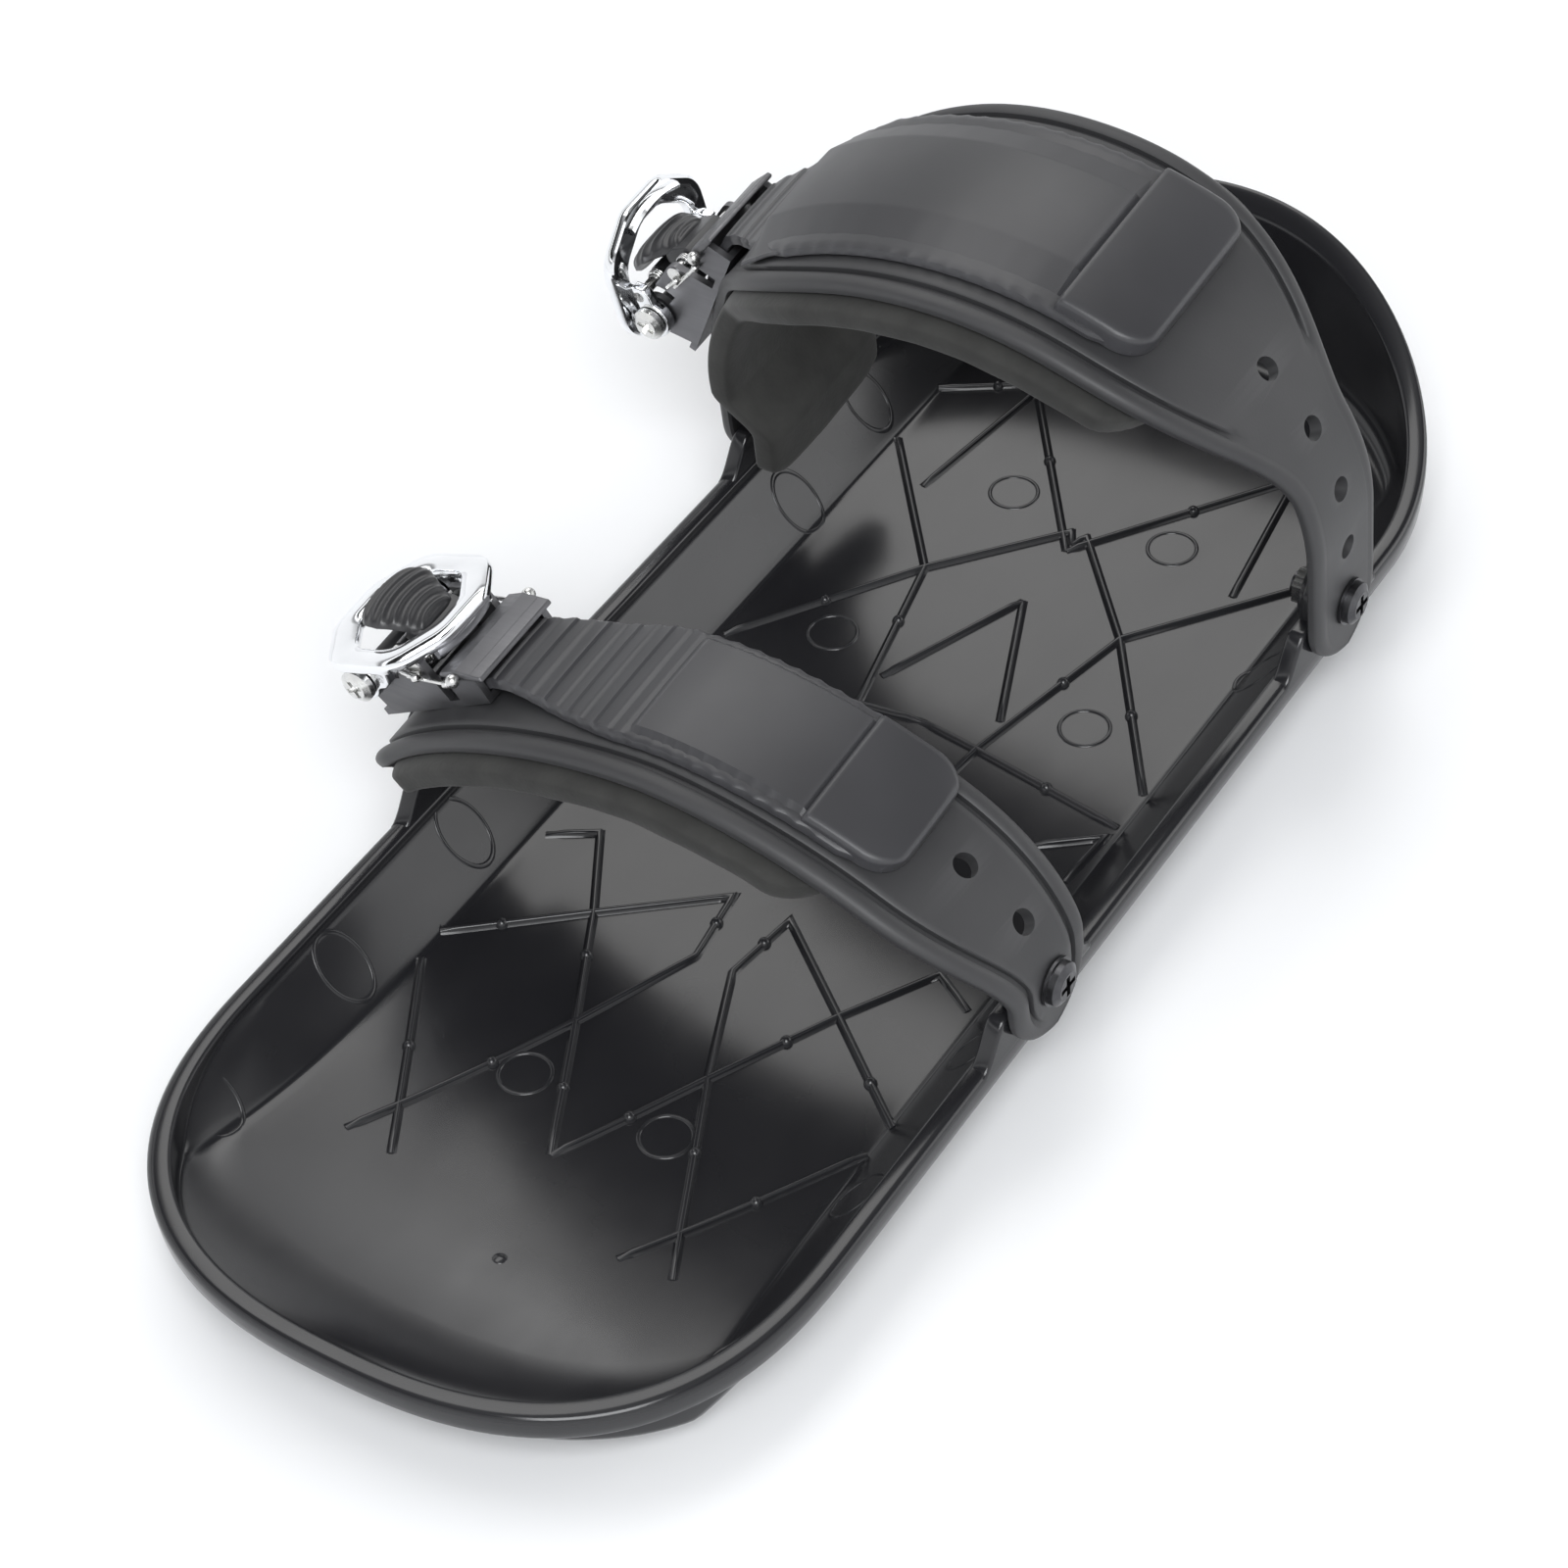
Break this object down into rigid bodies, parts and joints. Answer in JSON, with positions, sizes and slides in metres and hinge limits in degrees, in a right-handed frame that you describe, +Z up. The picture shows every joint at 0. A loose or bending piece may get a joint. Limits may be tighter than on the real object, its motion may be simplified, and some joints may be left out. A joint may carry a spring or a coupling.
{
  "type": "snow skate",
  "caption": "Short moulded snow skate with an upturned toe, a raised heel cup and padded toe and ankle straps closed by ratchet buckles.",
  "frame": {"origin": "on the ground under the deck, on its centre line, 41.8 mm behind the toe strap's hinge and 83 mm in front of the ankle strap's", "axes": "+X towards the side with the strap screws, away from the buckles; +Y from toe to heel; +Z up"},
  "size_m": [0.1783, 0.3605, 0.1146],
  "materials": {
    "deck": "satin moulded polyethylene with a gloss on the curved toe",
    "strap": "matte moulded plastic",
    "pad": "charcoal foam with a fine skin",
    "ladder": "satin moulded plastic",
    "frame": "black painted steel",
    "lever": "polished chrome plate",
    "hardware": "bright zinc plated steel",
    "screw": "black oxide steel",
    "release": "ribbed black plastic",
    "pawl": "dark steel"
  },
  "bodies": {
    "deck_body": {"deck": "deck", "strap_screws": "screw", "strap_nuts": "hardware", "strap_washers": "hardware"},
    "toe_strap_body": {"toe_strap": "strap", "toe_pad": "pad", "toe_ladder": "ladder", "toe_ladder_screw": "screw", "toe_buckle_frame": "frame", "toe_frame_rivet": "hardware", "toe_guide_pin": "hardware", "toe_lever_bolt": "hardware", "toe_lever_nut": "hardware", "toe_release_pin": "hardware", "toe_release_spring": "hardware"},
    "toe_lever_body": {"toe_lever": "lever", "toe_drive_pin": "hardware", "toe_drive_spring": "hardware"},
    "toe_drive_pawl_body": {"toe_drive_pawl": "pawl"},
    "toe_release_body": {"toe_release_lever": "release"},
    "ankle_strap_body": {"ankle_strap": "strap", "ankle_pad": "pad", "ankle_ladder": "ladder", "ankle_ladder_screw": "screw", "ankle_buckle_frame": "frame", "ankle_frame_rivet": "hardware", "ankle_guide_pin": "hardware", "ankle_lever_bolt": "hardware", "ankle_lever_nut": "hardware", "ankle_release_pin": "hardware", "ankle_release_spring": "hardware"},
    "ankle_lever_body": {"ankle_lever": "lever", "ankle_drive_pin": "hardware", "ankle_drive_spring": "hardware"},
    "ankle_drive_pawl_body": {"ankle_drive_pawl": "pawl"},
    "ankle_release_body": {"ankle_release_lever": "release"}
  },
  "joints": [
    {"name": "toe_strap_swing", "type": "hinge", "parent": "deck_body", "child": "toe_strap_body", "pos_m": [0, -0.0418, 0.03], "axis": [1, 0, 0], "range_deg": [-16, 16]},
    {"name": "toe_lever_swing", "type": "hinge", "parent": "toe_strap_body", "child": "toe_lever_body", "pos_m": [-0.07609, -0.04364, 0.05631], "axis": [0, -0.9976, -0.0698], "range_deg": [0, 68]},
    {"name": "toe_drive_pawl_turn", "type": "hinge", "parent": "toe_lever_body", "child": "toe_drive_pawl_body", "pos_m": [-0.07072, -0.0439, 0.05999], "axis": [0, 0.9976, 0.0698], "range_deg": [0, 25], "stiffness_Nm_per_rad": 0.004, "springref_deg": -17.19},
    {"name": "toe_release_turn", "type": "hinge", "parent": "toe_strap_body", "child": "toe_release_body", "pos_m": [-0.06307, -0.04416, 0.06374], "axis": [0, 0.9976, 0.0698], "range_deg": [0, 12], "stiffness_Nm_per_rad": 0.01, "springref_deg": -17.19},
    {"name": "ankle_strap_swing", "type": "hinge", "parent": "deck_body", "child": "ankle_strap_body", "pos_m": [0, 0.083, 0.03], "axis": [1, 0, 0], "range_deg": [-16, 16]},
    {"name": "ankle_lever_swing", "type": "hinge", "parent": "ankle_strap_body", "child": "ankle_lever_body", "pos_m": [-0.08839, 0.08109, 0.0573], "axis": [0, -0.9976, -0.0698], "range_deg": [-42, 26]},
    {"name": "ankle_drive_pawl_turn", "type": "hinge", "parent": "ankle_lever_body", "child": "ankle_drive_pawl_body", "pos_m": [-0.09084, 0.08067, 0.06332], "axis": [0, 0.9976, 0.0698], "range_deg": [0, 25], "stiffness_Nm_per_rad": 0.004, "springref_deg": -17.19},
    {"name": "ankle_release_turn", "type": "hinge", "parent": "ankle_strap_body", "child": "ankle_release_body", "pos_m": [-0.08216, 0.08014, 0.07092], "axis": [0, 0.9976, 0.0698], "range_deg": [0, 12], "stiffness_Nm_per_rad": 0.01, "springref_deg": -17.19}
  ]
}
